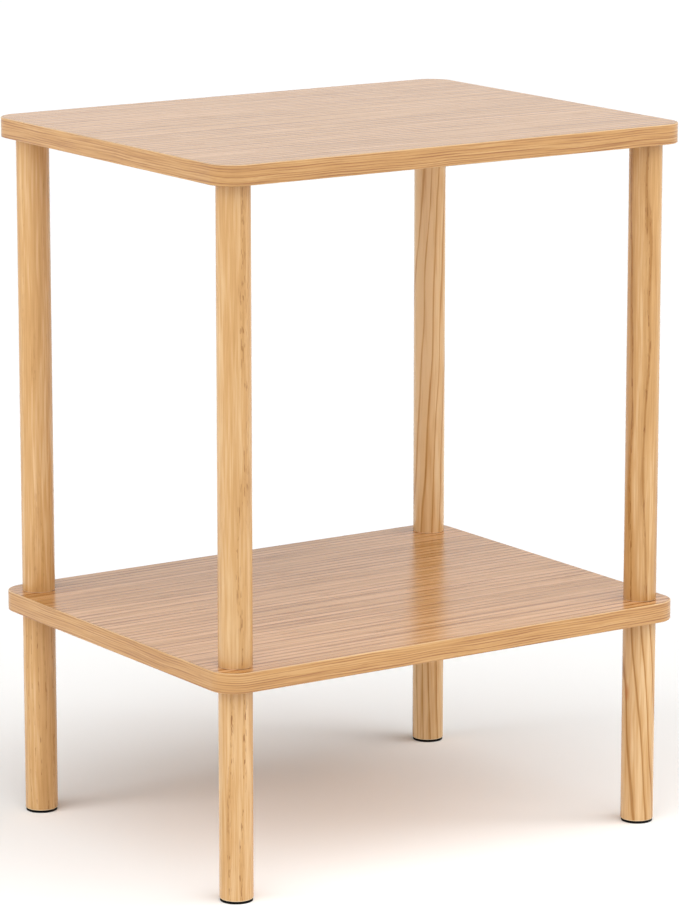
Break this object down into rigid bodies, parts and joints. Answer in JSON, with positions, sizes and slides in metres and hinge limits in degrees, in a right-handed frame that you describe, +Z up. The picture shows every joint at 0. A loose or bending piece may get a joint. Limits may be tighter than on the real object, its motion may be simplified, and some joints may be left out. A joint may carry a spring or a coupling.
{
  "type": "end table with shelf",
  "caption": "Small rectangular end table: two wood-finish boards with rounded corners, a top and a low shelf, on round pine dowel legs with thin floor pads.",
  "frame": {"origin": "on the floor, under the middle of the table", "axes": "+X along the boards' long side, +Y towards the rear long side, +Z up"},
  "size_m": [0.41, 0.325, 0.54],
  "materials": {
    "board_face": "satin wood-print skin",
    "edge_band": "satin wood-print band",
    "board_core": "raw particle board",
    "pine": "clear satin varnish",
    "pad": "matt black",
    "steel": "zinc plated"
  },
  "bodies": {
    "root": {"top_core": "board_core", "top_face_skin": "board_face", "top_underside_skin": "board_face", "top_edge_band": "edge_band", "shelf_core": "board_core", "shelf_face_skin": "board_face", "shelf_underside_skin": "board_face", "shelf_edge_band": "edge_band", "upper_leg_front_left": "pine", "lower_leg_front_left": "pine", "floor_pad_front_left": "pad", "upper_leg_front_right": "pine", "lower_leg_front_right": "pine", "floor_pad_front_right": "pad", "upper_leg_rear_left": "pine", "lower_leg_rear_left": "pine", "floor_pad_rear_left": "pad", "upper_leg_rear_right": "pine", "lower_leg_rear_right": "pine", "floor_pad_rear_right": "pad", "top_insert_nuts": "steel", "top_hanger_bolts": "steel", "leg_insert_nuts": "steel", "shelf_hanger_bolts": "steel"}
  },
  "joints": []
}
